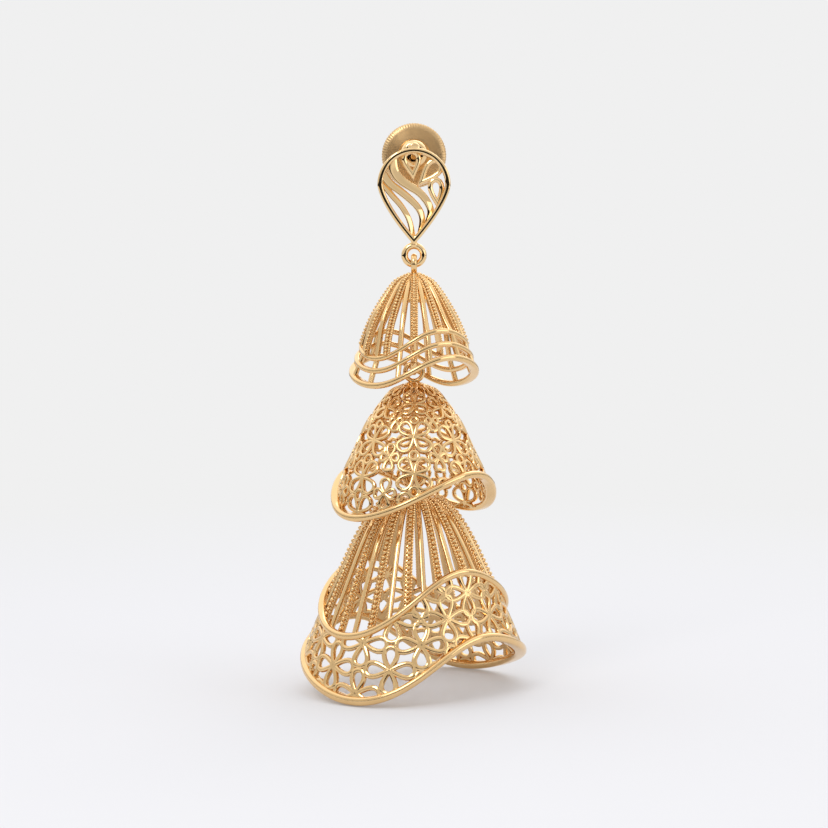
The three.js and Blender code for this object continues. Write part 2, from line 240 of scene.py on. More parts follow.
def drawn(section, path, closed=False):
    """Wire drawn with a section and bent along a path of (point, across, up) places."""
    wire = bmesh.new()
    corners = [wire.verts.new((a, b, 0)) for a, b in section]
    edges = [wire.edges.new((corners[i - 1], corners[i])) for i in range(len(corners))]
    steps = len(path) if closed else len(path) - 1
    bmesh.ops.spin(wire, geom=corners + edges, axis=(0, 0, 1), dvec=(0, 0, 1), angle=0, steps=steps)
    for vert in wire.verts:
        point, across, up = path[round(vert.co.z) % len(path)]
        vert.co = point + across * vert.co.x + up * vert.co.y
    if closed:
        bmesh.ops.remove_doubles(wire, verts=wire.verts, dist=MERGE)
    else:
        bmesh.ops.holes_fill(wire, edges=wire.edges, sides=0)
    bmesh.ops.recalc_face_normals(wire, faces=wire.faces)
    return wire


def bent(line, up, width=(1, 1), closed=False):
    """The places of a flat path for drawn: across lies in its plane, and goes from one width to the other."""
    path = []
    last = len(line) - 1
    for i, point in enumerate(line):
        before = line[i - 1] if i or closed else line[0]
        after = line[(i + 1) % len(line)] if i < last or closed else line[last]
        across = (after - before).cross(up).normalized()
        onward = after - point if (after - point).length else after - before
        mitre = max(SHORTEST_MITRE, abs(onward.cross(up).normalized().dot(across)))
        path.append((point, across * (width[0] + (width[1] - width[0]) * i / last) / mitre, up))
    return path


def finish(name, shape, finish_material, body, node):
    """Brings a shape to metres as an object with its finish, on its body, in place of its CAD node."""
    bmesh.ops.translate(shape, vec=(0, 0, -POST_Z), verts=shape.verts)
    bmesh.ops.scale(shape, vec=(0.001, 0.001, 0.001), verts=shape.verts)
    mesh = bpy.data.meshes.new(name)
    shape.to_mesh(mesh)
    shape.free()
    mesh.shade_smooth()
    mesh.set_sharp_from_angle(angle=SHARP)
    mesh.materials.append(finish_material)
    made = bpy.data.objects.new(name, mesh)
    bpy.context.collection.objects.link(made)
    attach(made, body)
    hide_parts(node)
    return made


# the alloy's clouds of tone, and the smears where it is a little less bright
CLOUD = 1.2
SMEAR = 0.4


def gold(name, light, deep, roughness, grain, depth, turned_marks=0.0):
    """18 karat gold: two tones in soft clouds, and a skin with bumps of grain's size and depth in mm."""
    material = bpy.data.materials.new(name)
    material.use_nodes = True
    tree = material.node_tree
    tree.nodes.clear()
    place = add(tree, "ShaderNodeTexCoord").outputs["Object"]
    clouds = add(tree, "ShaderNodeTexNoise", {"Scale": 1000 / CLOUD, "Detail": 2.0}, {"Vector": place})
    smears = add(tree, "ShaderNodeTexNoise", {"Scale": 1000 / SMEAR, "Detail": 3.0}, {"Vector": place})
    tone = add(tree, "ShaderNodeMix", links={"Factor": clouds.outputs["Fac"]}, data_type="RGBA")
    tone.inputs[6].default_value = linear(light)
    tone.inputs[7].default_value = linear(deep)
    wear = add(
        tree,
        "ShaderNodeMapRange",
        {"From Min": 0.3, "From Max": 0.7, "To Min": roughness[0], "To Max": roughness[1]},
        {"Value": smears.outputs["Fac"]},
    )
    skin = add(tree, "ShaderNodeTexNoise", {"Scale": 1000 / grain, "Detail": 2.0}, {"Vector": place})
    bump = add(tree, "ShaderNodeBump", {"Distance": depth / 1000}, {"Height": skin.outputs["Fac"]})
    metal = add(
        tree,
        "ShaderNodeBsdfPrincipled",
        {"Metallic": 1.0},
        {"Base Color": tone.outputs[2], "Roughness": wear.outputs[0], "Normal": bump.outputs[0]},
    )
    if turned_marks:
        round_the_post = add(tree, "ShaderNodeTangent", direction_type="RADIAL", axis="Y")
        metal.inputs["Anisotropic"].default_value = turned_marks
        metal.inputs["Anisotropic Rotation"].default_value = 0.25
        tree.links.new(round_the_post.outputs[0], metal.inputs["Tangent"])
    add(tree, "ShaderNodeOutputMaterial", links={"Surface": metal.outputs[0]})
    return material


# mirror-polished on the wheel: crisp dark and light lines, with a faint ripple left by the mop
POLISHED_GOLD = gold("polished_gold", "#F4D4A2", "#EECA92", (0.03, 0.07), grain=0.5, depth=0.002)
UP = Vector((0, 0, 1))
FRONT = Vector((0, -1, 0))

# the middle line of the wire: a half circle over the top, then two sides that close in to the point,
# the fuller the higher PEAR_BELLY is
middle_half = PEAR_HALF_WIDTH - PEAR_WIRE / 2
middle_tip = PEAR_TIP_Z + PEAR_WIRE * 0.85
pear = []
for i in range(ROUND_STEPS + 1):
    turn = math.pi * (1 - i / ROUND_STEPS)
    pear.append(Vector((math.cos(turn), 0, math.sin(turn))) * middle_half + UP * PEAR_ROUND_Z)
for side, places in ((1, range(1, SIDE_STEPS + 1)), (-1, range(SIDE_STEPS - 1, 0, -1))):
    for i in places:
        half = middle_half * (1 - (i / SIDE_STEPS) ** PEAR_BELLY)
        height = PEAR_ROUND_Z + (middle_tip - PEAR_ROUND_Z) * i / SIDE_STEPS
        pear.append(Vector((side * half, 0, height)))
section = strip(PEAR_WIRE, PEAR_DEPTH, radius=0.2, segments=5, hold=0.01)
stud = drawn(section, bent(pear, FRONT, closed=True), closed=True)
finish("stud_frame", stud, POLISHED_GOLD, "stud", "stud_front")

# ---- Stud: blades and half flower ----
# Three soft S-shaped blades sweep from the left of the pear down to its point, and a half flower of three
# drop-shaped petals fills its upper right. They are cast with the frame and lie a little behind its front
# edge. Each blade's face leans to the upper right, so that it shows one even tone.

# a blade: the points of its middle line, and its width at the two ends
BLADES = [
    {
        "line": [
            (-3.25, -3.0), (-2.9, -3.5), (-2.1, -4.5), (-1.35, -5.35),
            (-0.85, -6.1), (-0.5, -6.8), (-0.27, -7.6), (-0.14, -8.5),
        ],
        "width": (0.62, 0.55),
    },
    {
        "line": [
            (-3.15, -2.25), (-2.4, -3.2), (-1.4, -3.95), (-0.6, -4.6), (0.1, -5.25),
            (0.55, -5.85), (0.79, -6.5), (0.8, -7.2), (0.6, -8.2),
        ],
        "width": (0.85, 0.55),
    },
    {
        "line": [
            (-2.18, -0.82), (-2.0, -1.9), (-1.4, -2.8), (-0.4, -3.5), (0.4, -4.0),
            (1.0, -4.6), (1.4, -5.2), (1.64, -5.8), (1.6, -6.4), (1.36, -7.15),
        ],
        "width": (1.0, 0.6),
    },
]
# a petal: its point's x and z, its length and width, and the way it points in degrees up from +X
FLOWER = [(-0.1, -2.4, 2.35, 1.45, 96), (0.7, -3.1, 2.68, 1.35, 48), (2.36, -5.25, 2.4, 1.15, 96)]
# a petal's outline draws in to its point the more the higher PETAL_POINT is; unscaled, it spans PETAL_SPAN
PETAL_POINT = 1.4
PETAL_SPAN = 1.42
PETAL_STEPS = 20
BLADE_SECTION = [(-0.5, -0.35), (0.5, -0.35), (0.5, 0.35), (0.2, 0.31), (-0.5, 0.08)]
PETAL_SECTION = [(-0.25, -0.35), (0.25, -0.35), (0.25, 0.22), (0, 0.35), (-0.25, 0.22)]
BLADES_Y = 0.05


def smooth(points, steps=8):
    """A curve led through points of any size, with so many steps from each to the next."""
    points = [Vector(p) for p in points]
    ends = [2 * points[0] - points[1], *points, 2 * points[-1] - points[-2]]
    line = []
    for a, b, c, d in zip(ends, ends[1:], ends[2:], ends[3:]):
        for i in range(steps):
            t = i / steps
            line.append(
                b + (c - a) * (t / 2) + (2 * a - 5 * b + 4 * c - d) * (t * t / 2)
                + (3 * b - a - 3 * c + d) * (t ** 3 / 2)
            )
    return [*line, points[-1]]


def join(whole, *parts):
    """Adds parts to a whole."""
    for part in parts:
        mesh = bpy.data.meshes.new("part")
        part.to_mesh(mesh)
        part.free()
        whole.from_mesh(mesh)
        bpy.data.meshes.remove(mesh)
    return whole


def petal(length, width, section):
    """A drop-shaped loop of wire lying flat, its point at the origin and its round end towards +X."""
    line = []
    for i in range(PETAL_STEPS):
        t = 2 * math.pi * i / PETAL_STEPS
        across = math.sin(t) * math.sin(t / 2) ** PETAL_POINT * width / PETAL_SPAN
        line.append(Vector(((1 - math.cos(t)) / 2 * length, across, 0)))
    return drawn(section, bent(line, UP, closed=True), closed=True)


stud = bmesh.new()
section = rounded(BLADE_SECTION, radius=0.08, segments=3)
for blade in BLADES:
    line = [Vector((x, BLADES_Y, z)) for x, z in smooth(blade["line"], steps=5)]
    join(stud, drawn(section, bent(line, FRONT, blade["width"])))
section = rounded(PETAL_SECTION, radius=0.07, segments=3)
upright = Matrix.Rotation(math.pi / 2, 4, "X")
for x, z, length, width, turn in FLOWER:
    loop = petal(length, width, section)
    place = Matrix.Translation((x, BLADES_Y, z)) @ Matrix.Rotation(math.radians(-turn), 4, "Y")
    bmesh.ops.transform(loop, matrix=place @ upright, verts=loop.verts)
    join(stud, loop)
finish("stud_blades", stud, POLISHED_GOLD, "stud", "stud_front")

# ---- Stud: hanging ring and ear post ----
# A closed gold ring under the pear's point carries the bells. The ear post, which goes through the ear, is
# straight hard-drawn gold wire on a small round foot, soldered to the back of the frame.
RING = 0.93
RING_WIRE = 0.34
HINGES = {"upper": -11.27, "middle": -22.0, "lower": -33.4}
KNOT = [(0, 0.32), (0.3, 0.3), (0.42, 0.12), (0.42, -0.12), (0.3, -0.3), (0, -0.32)]
KNOT_Z = PEAR_TIP_Z + 0.1
POST = 0.45
POST_LENGTH = 7.9
ROUND_WIRE_SIDES = 12


def round_section(wide, deep):
    """The outline of round or oval wire, from half its width and half its depth."""
    turns = [2 * math.pi * i / ROUND_WIRE_SIDES for i in range(ROUND_WIRE_SIDES)]
    return [(math.cos(t) * wide, math.sin(t) * deep) for t in turns]


def turned(section, steps, closed=True):
    """A shape turned on the lathe about the Z axis from a section of (radius, height) points."""
    shape = bmesh.new()
    corners = [shape.verts.new((r, 0, z)) for r, z in section]
    edges = [shape.edges.new((a, b)) for a, b in zip(corners, corners[1:])]
    if closed:
        edges.append(shape.edges.new((corners[-1], corners[0])))
    bmesh.ops.spin(
        shape, geom=corners + edges, axis=(0, 0, 1), angle=2 * math.pi, steps=steps, use_merge=True
    )
    bmesh.ops.remove_doubles(shape, verts=shape.verts, dist=MERGE)
    bmesh.ops.dissolve_degenerate(shape, edges=shape.edges, dist=MERGE / 10)
    bmesh.ops.recalc_face_normals(shape, faces=shape.faces)
    return shape


def ring(radius, wire, height, about="X"):
    """A ring with its middle at that height: it faces the front, or sideways when turned about Y."""
    shape = turned([(radius + a, b) for a, b in round_section(wire, wire)], steps=40)
    bmesh.ops.rotate(shape, verts=shape.verts, matrix=Matrix.Rotation(math.pi / 2, 3, about))
    bmesh.ops.translate(shape, verts=shape.verts, vec=(0, 0, height))
    return shape


stud = ring(RING, RING_WIRE, HINGES["upper"] + RING)
knot = turned(KNOT, steps=20, closed=False)
bmesh.ops.translate(knot, verts=knot.verts, vec=(0, 0, KNOT_Z))
join(stud, knot)

# the post is turned upright, then laid back onto its own axis, as the screw back is
POST_AXIS = Matrix.Translation((0, 0, POST_Z)) @ Matrix.Rotation(-math.pi / 2, 4, "X")
foot = [(0, 0.1), (0.4, 0.1), (0.52, 0.16), (0.6, 0.3), (0.6, 0.6), (0.54, 0.68), (POST, 0.74)]
tip = [
    (POST, POST_LENGTH - 0.2),
    (POST - 0.14, POST_LENGTH - 0.03),
    (POST - 0.3, POST_LENGTH),
    (0, POST_LENGTH),
]
post = turned([*foot, *tip], steps=28, closed=False)
bmesh.ops.transform(post, verts=post.verts, matrix=POST_AXIS)
join(stud, post)
finish("stud_ring_and_post", stud, POLISHED_GOLD, "stud", "stud_front")

# ---- Screw back ----
# A blind gold barrel with a domed front, threaded inside, is pressed into a large round disc whose edge is
# finely milled for the fingers. The disc keeps the fine satin rings of the lathe; the barrel is polished.
DISC = 3.35
DISC_FRONT = 7.8
DISC_BACK = 8.7
DISC_TEETH = 72
TOOTH = 0.05
TOOTH_POINT = 1.5
MILLED = DISC - 0.2
BARREL = 1.45
BARREL_FRONT = 5.2
BARREL_NOSE = 1.1
BORE = 0.78
BORE_LIP = BORE + 0.2
NOSE_STEPS = 6

# faced on the lathe and left satin: its cuts fan the light out round the disc, and its skin is dull;
# the grain is drawn coarser than the real one, which is too fine to show
SATIN_GOLD = gold("satin_gold", "#E4C290", "#DAB482", (0.3, 0.4), grain=0.09, depth=0.004, turned_marks=0.8)

# the disc's outline: a blind pocket for the barrel, and an eased edge that is the same on both faces
pocket = [(0, DISC_BACK - 0.35), (BORE + 0.1, DISC_BACK - 0.35), (BORE + 0.1, DISC_FRONT)]
edge = [(DISC - 0.6, 0), (DISC - 0.5, 0), (DISC - 0.16, 0.1), (DISC, 0.28)]
front_edge = [(r, DISC_FRONT + depth) for r, depth in edge]
back_edge = [(r, DISC_BACK - depth) for r, depth in reversed(edge)]
outline = [*pocket, *front_edge, *back_edge, (0, DISC_BACK)]
disc = turned(outline, steps=DISC_TEETH * 4, closed=False)
for vert in disc.verts:
    radius = math.hypot(vert.co.x, vert.co.y)
    if radius > MILLED:
        groove = abs(math.sin(math.atan2(vert.co.y, vert.co.x) * DISC_TEETH / 2))
        scale = 1 - TOOTH * (1 - groove) ** TOOTH_POINT / radius
        vert.co.x *= scale
        vert.co.y *= scale

# the barrel's outline: forward along the bore, over its lip and the round nose, and back to a flange
bore = [(0, DISC_BACK - 0.4), (BORE, DISC_BACK - 0.4)]
nose = [(BORE, BARREL_FRONT + 0.16), (BORE + 0.1, BARREL_FRONT)]
for i in range(NOSE_STEPS + 1):
    turn = math.radians(90 * (1 - i / NOSE_STEPS))
    radius = BORE_LIP + (BARREL - BORE_LIP) * math.cos(turn)
    nose.append((radius, BARREL_FRONT + BARREL_NOSE * (1 - math.sin(turn))))
flange = [(BARREL, DISC_FRONT - 0.25), (BARREL + 0.3, DISC_FRONT + 0.1), (0, DISC_BACK - 0.2)]
barrel = turned([*bore, *nose, *flange], steps=40, closed=False)

for piece in (disc, barrel):
    bmesh.ops.transform(piece, verts=piece.verts, matrix=POST_AXIS)
finish("screw_back_disc", disc, SATIN_GOLD, "back", "screw_back")
finish("screw_back_barrel", barrel, POLISHED_GOLD, "back", "screw_back")

# ---- Upper bell: hanger and dome ----
# A gold loop of flattened wire passes round the stud's ring and is soldered to a small collar on top of the
# bell. Under it a closed dome holds the heads of the ribs, and a rod down the axis ends in the next ring.
LOOP = 0.88
LOOP_WIRE = 0.24
LOOP_WIDE = 0.3
ROD = 0.4
UPPER_LINE = [
    (0.45, -12.15), (1.3, -12.52), (2.1, -13.05), (3.25, -14.6),
    (4.5, -16.8), (5.45, -19.3), (5.65, -21.0),
]
COLLAR = 0.37
COLLAR_FOOT = 0.5
DOME_WALL = 0.4
DOME_DROP = 0.24
DOME_PEAK = 0.25
DOME_HOLE = 0.05
DOME_FULLY_SUNK = 3

# cast, then tumbled in steel shot: bright, with a soft skin that blurs what it reflects; the dimples of
# the skin are drawn coarser than real ones, which are too fine to show
CAST_GOLD = gold("cast_gold", "#EFCB94", "#E5BE86", (0.07, 0.15), grain=0.12, depth=0.0025)


def hanger(hinge, stem_end, about="Y"):
    """The loop round the ring above with its collar: edge-on, or facing the front when turned about X."""
    loop = turned([(LOOP + a, b) for a, b in round_section(LOOP_WIRE, LOOP_WIDE)], steps=36)
    bmesh.ops.rotate(loop, verts=loop.verts, matrix=Matrix.Rotation(math.pi / 2, 3, about))
    bmesh.ops.translate(loop, verts=loop.verts, vec=(0, 0, hinge))
    top = hinge - LOOP - 0.02
    waist = min(top - 0.1, stem_end + 0.2)
    eased = [(0, top), (COLLAR - 0.07, top - 0.02), (COLLAR, top - 0.08)]
    collar = [*eased, (COLLAR, waist), (COLLAR_FOOT, stem_end), (0, stem_end - 0.1)]
    return join(loop, turned(collar, steps=24, closed=False))


def rod(top, hinge, about="X"):
    """The rod on the bell's axis with the ring for the next bell."""
    end = hinge + 2 * RING + 0.1
    bar = turned([(0, top), (ROD, top), (ROD, end + 0.25), (0.26, end), (0, end)], steps=20, closed=False)
    return join(bar, ring(RING, RING_WIRE, hinge + RING, about))


def bell_line(points):
    """A bell's outside as a dense line of (radius, height, length along it)."""
    line = []
    length = 0
    for point in smooth(points, steps=10):
        length += (point - Vector(line[-1][:2])).length if line else 0
        line.append((point.x, point.y, length))
    return line


def along(line, height):
    """The length along a bell's line at a height."""
    for a, b in zip(line, line[1:]):
        if b[1] <= height:
            return a[2] + (b[2] - a[2]) * (height - a[1]) / (b[1] - a[1])
    return line[-1][2]


def on_bell(line, length, turn):
    """A place on a bell: the point, the direction across and the direction outwards."""
    i = 1
    while i < len(line) - 1 and line[i][2] < length:
        i += 1
    a, b = line[i - 1], line[i]
    share = (length - a[2]) / (b[2] - a[2])
    angle = math.radians(turn)
    radial = Vector((math.sin(angle), -math.cos(angle), 0))
    across = Vector((math.cos(angle), math.sin(angle), 0))
    point = radial * (a[0] + (b[0] - a[0]) * share) + UP * (a[1] + (b[1] - a[1]) * share)
    outward = (radial * (a[1] - b[1]) + UP * (b[0] - a[0])).normalized()
    return point, across, outward


def reach(line, length):
    """The radius of a bell's line at a length along it."""
    return math.hypot(*on_bell(line, length, turn=0)[0].xy)


def dome(points, end, sunk=0):
    """The closed dome at the top of a bell, sunk behind what runs over it, though less near its middle."""
    outside = [(r - sunk * min(1, r / DOME_FULLY_SUNK), z) for r, z, _ in bell_line(points) if z >= end]
    inside = [(max(r - DOME_WALL, DOME_HOLE), z - DOME_DROP) for r, z in reversed(outside)]
    top = outside[0][1]
    outline = [(0, top + DOME_PEAK), *outside, *inside, (0, top - DOME_DROP)]
    return turned(outline, steps=48, closed=False)


upper = hanger(HINGES["upper"], stem_end=-12.4)
join(upper, dome(UPPER_LINE, end=-14.9, sunk=0.42), rod(top=-12.5, hinge=HINGES["middle"], about="Y"))
finish("upper_bell_hanger", upper, CAST_GOLD, "upper", "upper_bell")

# ---- Upper bell: ribs ----
# Twelve gold ribs carry a row of solid grains between two edges of fine beaded wire, and twelve plain ones
# run between them, all soldered to the dome. The grained ribs stop at the first band; the plain ones go on
# down as posts. Grains and beads are given as (radius, pitch).
RIB_WIDE = 0.78
RIB_THICK = 0.3
RIB_SUNK = 0.14
RIB_SECTION = 0.6
RIB_STEP = 0.5
RIB_BED = 0.85
RIB_SHARE = 0.9
PLAIN_WIDE = 0.5
PLAIN_THICK = 0.5
PLAIN_LEAST = 0.14
GRAIN = (0.17, 0.36)
GRAIN_SUNK = 0.02
BEAD = (0.12, 0.24)
BEAD_SUNK = 0.13
UPPER_PAIRS = 12
UPPER_LED_FROM = -15
# a rim: its inner and outer radius, the height of its middle and how tall it is; then how high its wave
# is, how far that is turned and how uneven it is, and how much the rim steps out where it hangs low
Rim = namedtuple("Rim", "inner outer height tall wave turn skew flare")
UPPER_BANDS = [
    Rim(4.85, 5.5, -19.27, 0.56, wave=1.36, turn=-6.5, skew=0.25, flare=0),
    Rim(5.3, 5.97, -20.5, 0.56, wave=1.32, turn=-4.5, skew=0.29, flare=0),
    Rim(5.6, 6.5, -21.87, 0.62, wave=1.38, turn=-1.5, skew=0.25, flare=0),
]


def saddle(rim, turn):
    """The height of the middle of a rim at a turn: two highs and two lows in a round, uneven by its skew."""
    twice = 2 * math.radians(turn - rim.turn)
    return rim.height + rim.wave * math.sin(twice + rim.skew * math.sin(twice))


def seat(rim, turn, inset):
    """The (radius, height) of a place on a rim, so far inside its outer face."""
    height = saddle(rim, turn)
    return rim.outer - inset - rim.flare * (height - rim.height), height


def led(points, start, foot):
    """A bell's line led outwards little by little from a height, so that it ends at least at a foot."""
    radius, end = foot
    line = bell_line(points)
    more = max(0, radius - reach(line, along(line, end)))
    return bell_line([(r + more * (max(0, start - z) / (start - end)) ** 2, z) for r, z in points])


def shared(pairs, grained, plain):
    """Three widths as functions of a point, where so many pairs of ribs share the way round a bell: that of
    a grained rib, of the bed that its grains lie on, and of a plain rib. Where there is little room, the
    grained rib takes RIB_SHARE of it, and the plain one is at least PLAIN_LEAST wide."""

    def room(point):
        return 2 * math.pi * math.hypot(point.x, point.y) / pairs

    def grained_wide(point):
        return min(grained, room(point) * RIB_SHARE)

    def bed_wide(point):
        return grained_wide(point) * RIB_BED

    def plain_wide(point):
        return min(plain, max(PLAIN_LEAST, room(point) - grained))

    return grained_wide, bed_wide, plain_wide


def rib(line, top, end, turn, wide, thick=PLAIN_THICK, sunk=0, ease=0.2):
    """A strip down a bell from one length to another, sunk below its outside: its section is drawn
    RIB_SECTION wide, and stretched to what wide(point) says."""
    steps = max(4, round((end - top) / RIB_STEP))
    section = strip(RIB_SECTION, thick, ease, segments=3)
    path = []
    for i in range(steps + 1):
        point, across, outward = on_bell(line, top + (end - top) * i / steps, turn)
        path.append((point - outward * (thick / 2 + sunk), across * wide(point) / RIB_SECTION, outward))
    return drawn(section, path)


def bed(line, top, end, turn, wide):
    """The thin strip that the grains of a rib lie on."""
    return rib(line, top, end, turn, wide, RIB_THICK, RIB_SUNK, ease=0.1)


def grains(line, top, end, turn, wide, grain=GRAIN, bead=BEAD):
    """The grains on a rib: a row of round ones down the middle, and a finer row of beads on each edge."""
    rows = bmesh.new()
    beads = (*bead, BEAD_SUNK, 6)
    for side, (radius, pitch, sunk, sides) in ((-1, beads), (0, (*grain, GRAIN_SUNK, 8)), (1, beads)):
        for i in range(int((end - top) / pitch)):
            point, across, outward = on_bell(line, top + (i + 0.5) * pitch, turn)
            spot = point + across * (side * (wide(point) / 2 - bead[0])) - outward * sunk
            bmesh.ops.create_uvsphere(
                rows,
                u_segments=sides,
                v_segments=sides - 2,
                radius=radius,
                matrix=Matrix.Translation(spot),
            )
    return rows


grained_wide, bed_wide, plain_wide = shared(UPPER_PAIRS, RIB_WIDE, PLAIN_WIDE)
upper = bmesh.new()
upper_grains = bmesh.new()
for i in range(UPPER_PAIRS * 2):
    turn = i * 180 / UPPER_PAIRS
    if i % 2 == 0:
        foot = seat(UPPER_BANDS[0], turn, inset=0.2)
        line = led(UPPER_LINE, UPPER_LED_FROM, foot)
        end = along(line, foot[1])
        join(upper, bed(line, 0, end, turn, bed_wide))
        join(upper_grains, grains(line, 0, end, turn, grained_wide))
    else:
        leg = bell_line([*UPPER_LINE[1:5], *(seat(rim, turn, inset=0.12) for rim in UPPER_BANDS)])
        join(upper, rib(leg, 0, leg[-1][2], turn, plain_wide))
finish("upper_bell_ribs", upper, CAST_GOLD, "upper", "upper_bell")
finish("upper_bell_grains", upper_grains, CAST_GOLD, "upper", "upper_bell")

# ---- Upper bell: bands ----
# Three waved bands of stout half-round gold wire go round the foot of the bell, each wider than the one
# above, soldered to the plain ribs. Their round backs draw a light line above and a dark one below.
BAND_ROUNDED = 0.4


def band(rim, steps=144):
    """A bar bent round a bell and lifted by its wave; it steps out a little where it hangs low."""
    low, high = rim.height - rim.tall / 2, rim.height + rim.tall / 2
    corners = [(rim.inner, low), (rim.outer, low), (rim.outer, high), (rim.inner, high)]
    shape = turned(rounded(corners, rim.tall * BAND_ROUNDED, segments=4), steps)
    for vert in shape.verts:
        lift = saddle(rim, math.degrees(math.atan2(vert.co.x, -vert.co.y))) - rim.height
        scale = 1 - rim.flare * lift / math.hypot(vert.co.x, vert.co.y)
        vert.co = (vert.co.x * scale, vert.co.y * scale, vert.co.z + lift)
    return shape


upper = bmesh.new()
for rim in UPPER_BANDS:
    join(upper, band(rim))
finish("upper_bell_bands", upper, CAST_GOLD, "upper", "upper_bell")

# ---- Middle bell: hanger and crown ----
# The loop faces the front here, and its collar sits straight on the bell. Below the collar a crown of twelve
# drop-shaped loops of gold wire is soldered over the shoulder, and the rod inside carries the next ring.
MIDDLE_LINE = [
    (0.5, -22.95), (1.5, -23.3), (2.4, -23.75), (3.25, -24.75), (4.68, -26.7),
    (5.6, -28.6), (6.5, -30.5), (7.05, -31.7), (7.75, -34.1), (7.9, -36.5), (8.0, -37.6),
]
MIDDLE_RIM = Rim(7.2, 8.3, -33.99, 0.72, wave=2.08, turn=3, skew=-0.07, flare=0.2)
WIRE_DEEP = 0.5
CROWN_CAP = [(0.35, -22.95), (0.8, -23.05), (1.3, -23.3)]
CROWN_WIRE = strip(0.32, WIRE_DEEP, radius=0.13)
CROWN_LOOPS = 12
CROWN_LOOP = (1.9, 0.8)
CROWN_TOP = -23.2
CROWN_TIGHTEST = 1.2

MIDDLE = bell_line(MIDDLE_LINE)
middle = hanger(HINGES["middle"], stem_end=-23.1, about="X")
join(middle, rod(top=-23.0, hinge=HINGES["lower"]), dome(CROWN_CAP, end=-23.4))

# each loop hangs down from CROWN_TOP and narrows with the bell, but not above where it is CROWN_TIGHTEST
start = along(MIDDLE, CROWN_TOP)
for i in range(CROWN_LOOPS):
    loop = petal(*CROWN_LOOP, CROWN_WIRE)
    bmesh.ops.rotate(loop, verts=loop.verts, matrix=Matrix.Rotation(-math.pi / 2, 3, "Z"))
    for vert in loop.verts:
        x, y, z = vert.co
        radius = max(reach(MIDDLE, start - y), CROWN_TIGHTEST)
        turn = (i + 0.5) * 360 / CROWN_LOOPS + math.degrees(x / radius)
        point, _, outward = on_bell(MIDDLE, start - y, turn)
        vert.co = point + outward * (z - WIRE_DEEP / 2)
    join(middle, loop)
finish("middle_bell_crown", middle, CAST_GOLD, "middle", "middle_bell")

# ---- Middle bell: filigree wall ----
# Eight columns of four-petal flowers in oval gold wire are soldered petal to petal, their petals on the
# slant, with a ring between one flower and the next. Small upright flowers tie the columns together where
# the large petals come nearest, and leave the wall open beside each large flower.
MIDDLE_WIRE = strip(0.38, WIRE_DEEP, radius=0.16)
MIDDLE_COLUMNS = 8

# in a column a row is (height, petal length, petal width), between two it is (height, upright petals,
# sideways petals), and a row of rings is (height, radius); every other column hangs MIDDLE_DROP lower
MIDDLE_ROWS = [(-24.95, 1.5, 1.05), (-28.15, 1.95, 1.27), (-31.65, 2.0, 1.3), (-35.1, 2.0, 1.3)]
MIDDLE_DROP = 0.45
BETWEEN_ROWS = [
    (-26.6, (1.15, 0.75), (0.65, 0.65)), (-30.15, (1.4, 0.9), (0.95, 0.8)),
    (-33.6, (1.5, 1.0), (1.1, 0.9)), (-36.8, (1.4, 0.95), (1.1, 0.9)),
]
RING_ROWS = [(-26.55, 0.36), (-29.95, 0.45), (-33.4, 0.5)]
BUTTON = 0.36
SMALL_BUTTON = 0.3
BUTTON_EASE = 0.1
SLOPE_STEP = 0.4


def lay(shape, line, length, turn):
    """Bends a flat shape onto a bell: +X goes round it, -Y down it and +Z outwards."""
    radius = reach(line, length)
    for vert in shape.verts:
        x, y, z = vert.co
        point, _, outward = on_bell(line, length - y, turn + math.degrees(x / radius))
        vert.co = point + outward * (z - WIRE_DEEP / 2)
    return shape


def cut(shape, point, normal):
    """Cuts away what lies on the far side of a plane, and closes the cut."""
    everything = shape.verts[:] + shape.edges[:] + shape.faces[:]
    bmesh.ops.bisect_plane(shape, geom=everything, plane_co=point, plane_no=normal, clear_outer=True)
    if shape.faces:
        bmesh.ops.holes_fill(shape, edges=shape.edges, sides=0)


def flower(upright, sideways, button, wire, start=0):
    """Four drop-shaped loops round a flat button; start is the direction of the first, a sideways one."""
    parts = []
    for i in range(4):
        loop = petal(*(upright if i % 2 else sideways), wire)
        turned_to = Matrix.Rotation(math.radians(start + 90 * i), 3, "Z")
        bmesh.ops.rotate(loop, verts=loop.verts, matrix=turned_to)
        parts.append(loop)
    half = WIRE_DEEP / 2
    flat = button - BUTTON_EASE
    eased = half - BUTTON_EASE
    outline = [(0, -half), (flat, -half), (button, -eased), (button, eased), (flat, half), (0, half)]
    parts.append(turned(outline, steps=14, closed=False))
    return parts


def trimmed(parts, line, height, turn, low=None, high=None):
    """Lays flat parts on a bell and cuts them off along the wave of a rim below them or above."""
    length = along(line, height)
    radius = reach(line, length)
    kept = []
    for part in parts:
        middle_x = sum(v.co.x for v in part.verts) / len(part.verts)
        for rim, side in ((low, -1), (high, 1)):
            if rim is None or not part.verts:
                continue
            here = turn + math.degrees(middle_x / radius)
            step = math.degrees(SLOPE_STEP / radius)
            left, at, right = (along(line, saddle(rim, t)) for t in (here - step, here, here + step))
            slope = (left - right) / (2 * SLOPE_STEP)
            cut(part, Vector((middle_x, length - at, 0)), Vector((-slope, 1, 0)) * side)
        if part.verts and part.faces:
            kept.append(lay(part, line, length, turn))
        else:
            part.free()
    return kept


